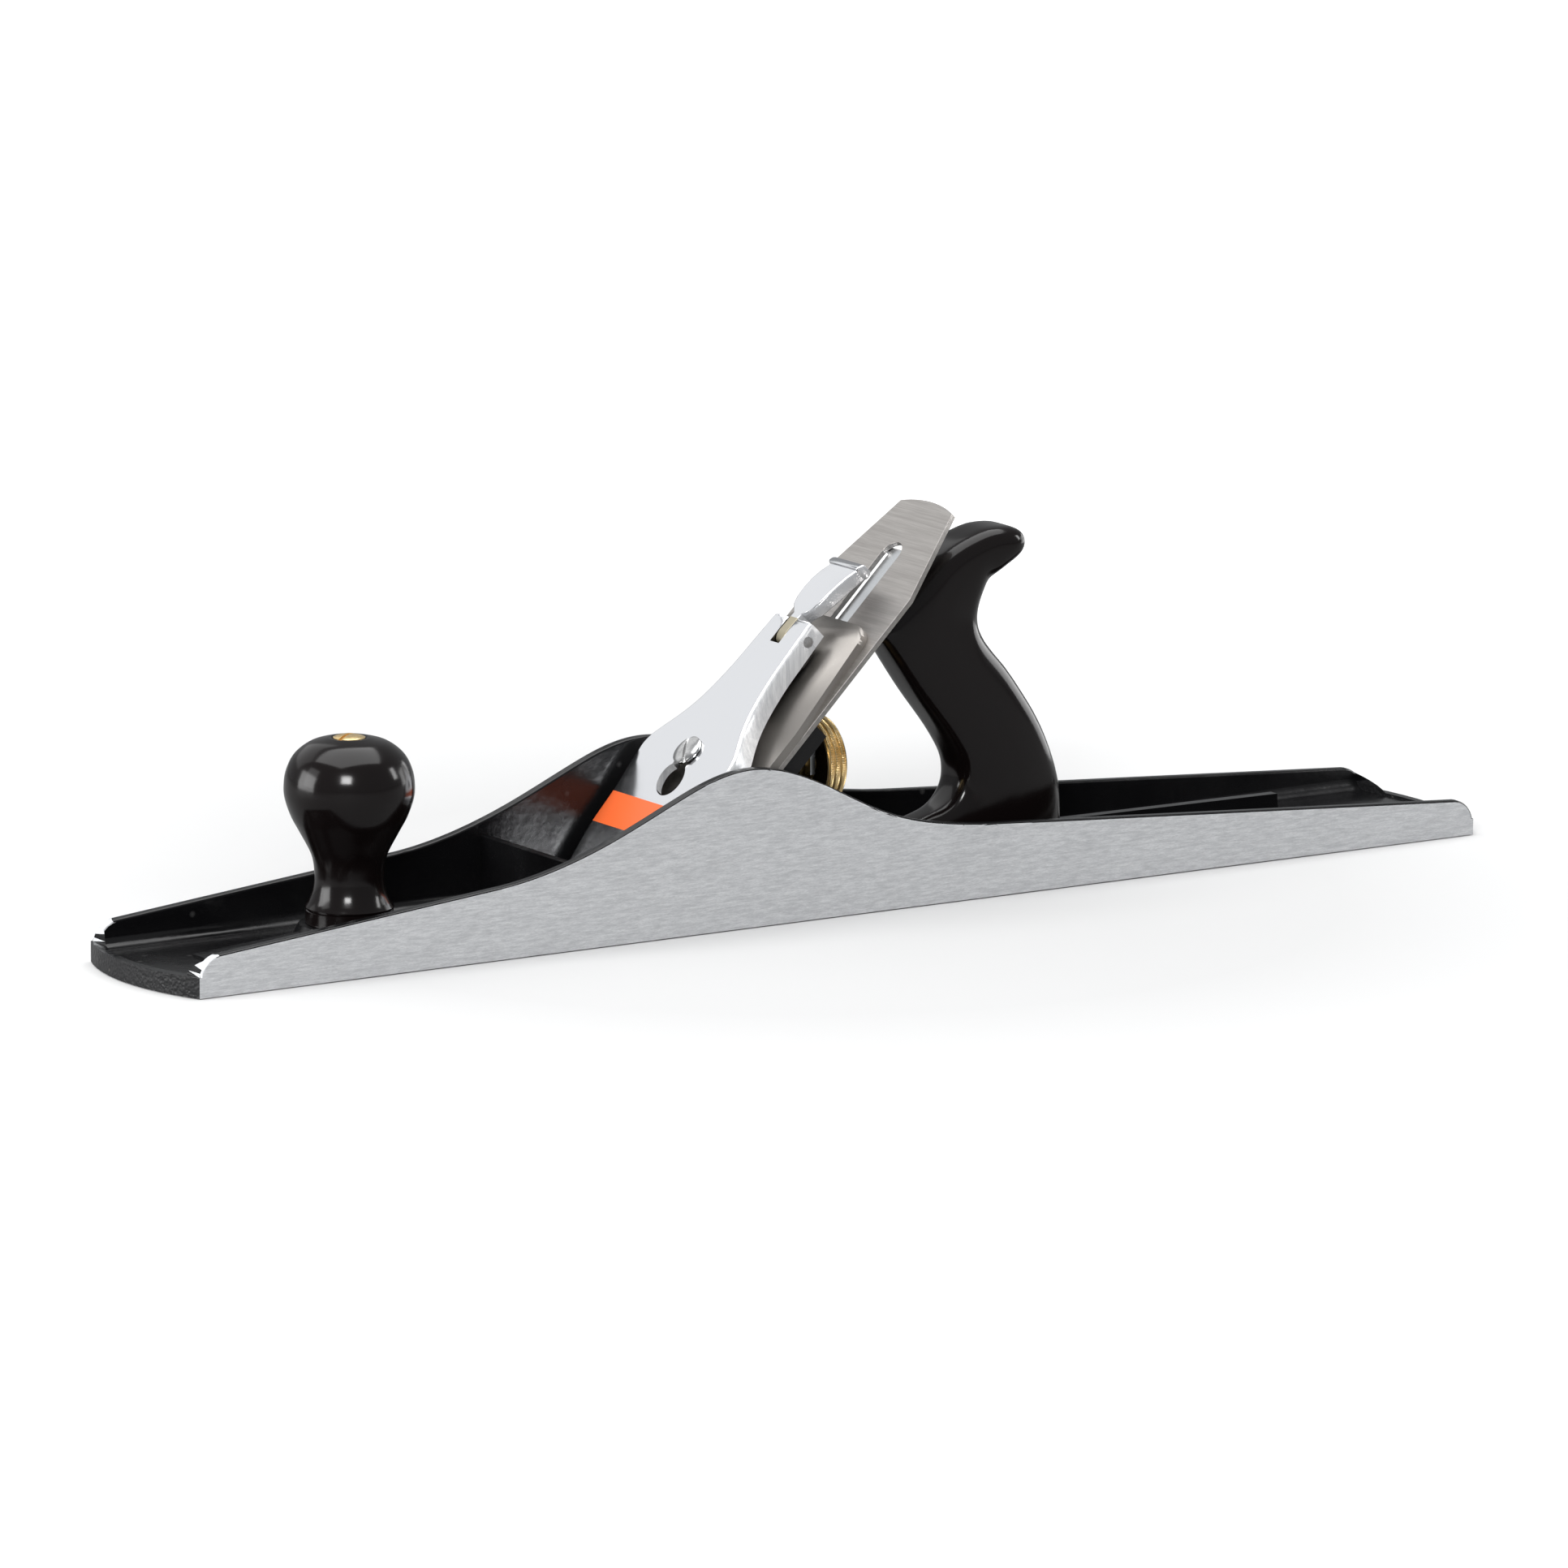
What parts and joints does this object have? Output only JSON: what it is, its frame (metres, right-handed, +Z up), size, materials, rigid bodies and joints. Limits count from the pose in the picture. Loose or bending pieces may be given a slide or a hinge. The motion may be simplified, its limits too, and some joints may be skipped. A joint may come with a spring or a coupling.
{
  "type": "bench hand plane",
  "caption": "Long metal-bodied bench plane with a curved rear handle, round front knob, clamped iron on a sloping frog and screw and lever adjusters.",
  "frame": {"origin": "centre of the sole, on the sole plane", "axes": "+X along the sole towards the heel, -X towards the toe, +Y towards the right cheek, +Z up"},
  "size_m": [0.56, 0.0754, 0.14],
  "materials": {
    "enamel_iron": "black enamelled cast iron with ground sides and sole",
    "black_plastic": "glossy moulded black plastic",
    "bright_steel": "bright turned steel",
    "brass": "turned brass",
    "knurled_brass": "knurled brass",
    "black_enamel": "black enamel on cast iron",
    "zinc_steel": "zinc plated steel",
    "tool_steel": "surface-ground tool steel",
    "satin_steel": "satin steel",
    "chrome": "chrome plated cast iron",
    "spring_steel": "blued spring steel"
  },
  "bodies": {
    "body": {"body_casting": "enamel_iron", "front_knob": "black_plastic", "knob_stud": "bright_steel", "knob_nut": "brass", "tote": "black_plastic", "tote_rod": "bright_steel", "tote_nut": "brass", "tote_toe_screw": "bright_steel", "frog_screws": "bright_steel", "frog_washers": "bright_steel"},
    "frog": {"frog": "black_enamel", "frog_clip": "zinc_steel", "frog_clip_screw": "bright_steel", "adjuster_stud": "bright_steel", "yoke_pin": "bright_steel", "lateral_pivot_rivet": "zinc_steel", "lever_cap_screw": "bright_steel"},
    "frog_adjusting_screw": {"frog_adjusting_screw": "bright_steel"},
    "depth_wheel": {"depth_wheel": "knurled_brass"},
    "yoke_lever": {"yoke_lever": "zinc_steel"},
    "lateral_lever": {"lateral_lever": "zinc_steel"},
    "iron_swing": {"lateral_roller": "zinc_steel"},
    "cutter": {"cutting_iron": "tool_steel", "cap_iron": "satin_steel", "cap_iron_screw": "bright_steel"},
    "lever_cap": {"lever_cap": "chrome", "cam_pin": "bright_steel", "cap_spring": "spring_steel", "spring_rivet": "bright_steel"},
    "cam_lever": {"cam_lever": "chrome"}
  },
  "joints": [
    {"name": "frog_slide", "type": "slide", "parent": "body", "child": "frog", "axis": [1, 0, 0], "range_m": [-0.001, 0.001]},
    {"name": "frog_adjusting_screw_turn", "type": "hinge", "parent": "frog", "child": "frog_adjusting_screw", "pos_m": [-0.02, 0, 0.019], "axis": [1, 0, 0], "range_deg": [-460, 460]},
    {"name": "depth_wheel_turn", "type": "hinge", "parent": "frog", "child": "depth_wheel", "pos_m": [0.01, 0, 0.0495], "axis": [1, 0, 0], "range_deg": [-181, 301]},
    {"name": "yoke_rock", "type": "hinge", "parent": "frog", "child": "yoke_lever", "pos_m": [-0.003, 0, 0.061], "axis": [0, 1, 0], "range_deg": [-2.9, 4.7]},
    {"name": "lateral_lever_turn", "type": "hinge", "parent": "frog", "child": "lateral_lever", "pos_m": [-0.00899, 0, 0.06668], "axis": [-0.7071, 0, 0.7071], "range_deg": [-4.1, 4.1]},
    {"name": "iron_swing_turn", "type": "hinge", "parent": "frog", "child": "iron_swing", "pos_m": [-0.03297, 0, 0.04723], "axis": [-0.7071, 0, 0.7071], "range_deg": [-1.6, 1.6]},
    {"name": "iron_slide", "type": "slide", "parent": "iron_swing", "child": "cutter", "axis": [0.7071, 0, 0.7071], "range_m": [-0.0006, 0.001]},
    {"name": "lever_cap_slide", "type": "slide", "parent": "frog", "child": "lever_cap", "axis": [0.7071, 0, 0.7071], "range_m": [0, 0.0115]},
    {"name": "cam_lever_turn", "type": "hinge", "parent": "lever_cap", "child": "cam_lever", "pos_m": [-0.001, 0, 0.09617], "axis": [0, -1, 0], "range_deg": [0, 100]}
  ],
  "couplings": [
    {"joint": "frog_adjusting_screw_turn", "follows": "frog_slide", "rad_per_m": 7854},
    {"joint": "yoke_rock", "follows": "iron_slide", "rad_per_m": 76.628},
    {"joint": "depth_wheel_turn", "follows": "iron_slide", "rad_per_m": 5236},
    {"joint": "iron_swing_turn", "follows": "lateral_lever_turn", "ratio": -0.38288}
  ]
}
